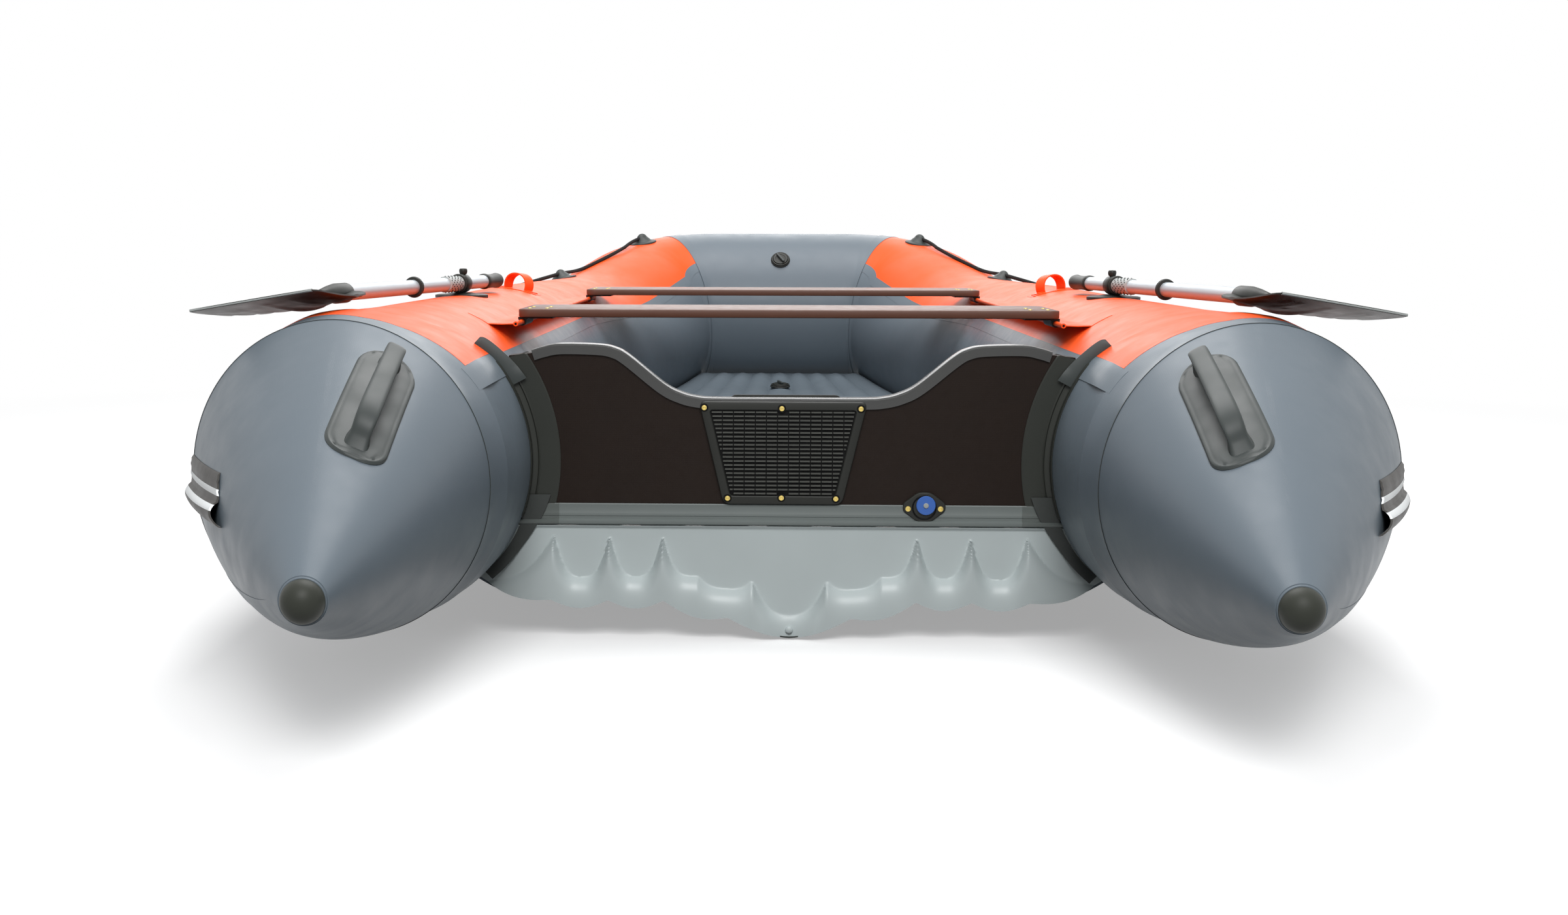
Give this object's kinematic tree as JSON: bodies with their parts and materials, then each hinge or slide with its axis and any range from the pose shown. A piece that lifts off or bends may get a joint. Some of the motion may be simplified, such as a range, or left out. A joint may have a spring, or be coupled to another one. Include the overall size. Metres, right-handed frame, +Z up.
{
  "type": "inflatable boat",
  "caption": "Inflatable boat with orange and grey air tubes, stern cones, a plywood transom with motor pads and a drain, an air floor, sliding seats, oars on locks and grab lines.",
  "frame": {"origin": "centre of the whole boat's length and breadth, at the height of the keel's underside", "axes": "+Z up, +Y towards the bow, +X to starboard"},
  "size_m": [1.8592, 3.775, 0.658],
  "materials": {
    "orange_pvc": "PVC-coated polyester, fine satin",
    "grey_pvc": "PVC-coated polyester, fine satin",
    "black_rubber": "extruded rubber with two white stripes",
    "black_trim": "extruded edge trim",
    "grey_strip": "extruded rubber strip",
    "grey_moulding": "moulded grey PVC, satin",
    "handle_rubber": "moulded rubber",
    "phenolic_plywood": "film-faced plywood, wire-mesh pattern",
    "seat_plywood": "film-faced plywood, smooth",
    "blue_plastic": "moulded plastic",
    "black_plastic": "moulded plastic",
    "anodised_aluminium": "clear anodised tube",
    "black_rope": "braided rope"
  },
  "bodies": {
    "hull": {"side_tube_upper_port": "orange_pvc", "side_tube_upper_starboard": "orange_pvc", "shoulder_upper_port": "orange_pvc", "shoulder_upper_starboard": "orange_pvc", "lift_loop_port": "orange_pvc", "lift_loop_starboard": "orange_pvc", "seat_track_port": "orange_pvc", "seat_track_starboard": "orange_pvc", "side_tube_lower_port": "grey_pvc", "side_tube_lower_starboard": "grey_pvc", "shoulder_lower_port": "grey_pvc", "shoulder_lower_starboard": "grey_pvc", "stern_cone_port": "grey_pvc", "stern_cone_starboard": "grey_pvc", "bulkhead_port": "grey_pvc", "bulkhead_starboard": "grey_pvc", "transom_holder_port": "grey_pvc", "transom_holder_starboard": "grey_pvc", "bow_tube": "grey_pvc", "inflatable_floor": "grey_pvc", "rub_strake_port": "black_rubber", "rub_strake_starboard": "black_rubber", "transom_trim": "black_trim", "stern_strip": "grey_strip", "stern_moulding": "grey_moulding", "carry_handle_port": "handle_rubber", "carry_handle_starboard": "handle_rubber", "transom_board": "phenolic_plywood", "cone_cap_port": "black_plastic", "cone_cap_starboard": "black_plastic", "oarlock_base_port": "black_plastic", "oarlock_base_starboard": "black_plastic", "rope_eye_upper_port": "black_plastic", "rope_eye_upper_starboard": "black_plastic", "rope_eye_lower_port": "black_plastic", "rope_eye_lower_starboard": "black_plastic", "outer_motor_pad": "black_plastic", "inner_motor_pad": "black_plastic", "drain_flange": "black_plastic", "bow_valve_body": "black_plastic", "floor_valve_body": "black_plastic", "grab_line_port": "black_rope", "grab_line_starboard": "black_rope"},
    "aft_seat": {"seat_board_aft": "seat_plywood", "seat_slide_aft_port": "black_plastic", "seat_slide_aft_starboard": "black_plastic"},
    "forward_seat": {"seat_board_forward": "seat_plywood", "seat_slide_forward_port": "black_plastic", "seat_slide_forward_starboard": "black_plastic"},
    "port_oar": {"oarlock_port": "black_plastic", "oar_shaft_port": "anodised_aluminium", "oar_blade_port": "black_plastic", "oar_grip_port": "black_plastic"},
    "starboard_oar": {"oarlock_starboard": "black_plastic", "oar_shaft_starboard": "anodised_aluminium", "oar_blade_starboard": "black_plastic", "oar_grip_starboard": "black_plastic"},
    "bow_cap": {"bow_valve_cap": "black_plastic"},
    "floor_cap": {"floor_valve_cap": "black_plastic"},
    "drain_cover": {"drain_flap": "blue_plastic"}
  },
  "joints": [
    {"name": "aft_seat_slide", "type": "slide", "parent": "hull", "child": "aft_seat", "axis": [0, 1, 0], "range_m": [-0.08, 0.6]},
    {"name": "forward_seat_slide", "type": "slide", "parent": "hull", "child": "forward_seat", "axis": [0, 1, 0], "range_m": [-0.4, 0]},
    {"name": "port_oar_swing", "type": "hinge", "parent": "hull", "child": "port_oar", "pos_m": [-0.678, -0.19017, 0.551], "axis": [0, 0, -1], "range_deg": [-20, 130]},
    {"name": "starboard_oar_swing", "type": "hinge", "parent": "hull", "child": "starboard_oar", "pos_m": [0.678, -0.19017, 0.551], "axis": [0, 0, 1], "range_deg": [-20, 130]},
    {"name": "bow_valve_turn", "type": "hinge", "parent": "hull", "child": "bow_cap", "pos_m": [0, 1.45848, 0.57978], "axis": [0, -0.7431, 0.6691], "range_deg": [0, 90]},
    {"name": "floor_valve_turn", "type": "hinge", "parent": "hull", "child": "floor_cap", "pos_m": [0, 1.22253, 0.22105], "axis": [0, -0.1122, 0.9937], "range_deg": [0, 90]},
    {"name": "drain_flap_hinge", "type": "hinge", "parent": "hull", "child": "drain_cover", "pos_m": [0.2195, -1.06877, 0.2345], "axis": [-1, 0, 0], "range_deg": [0, 90]}
  ]
}
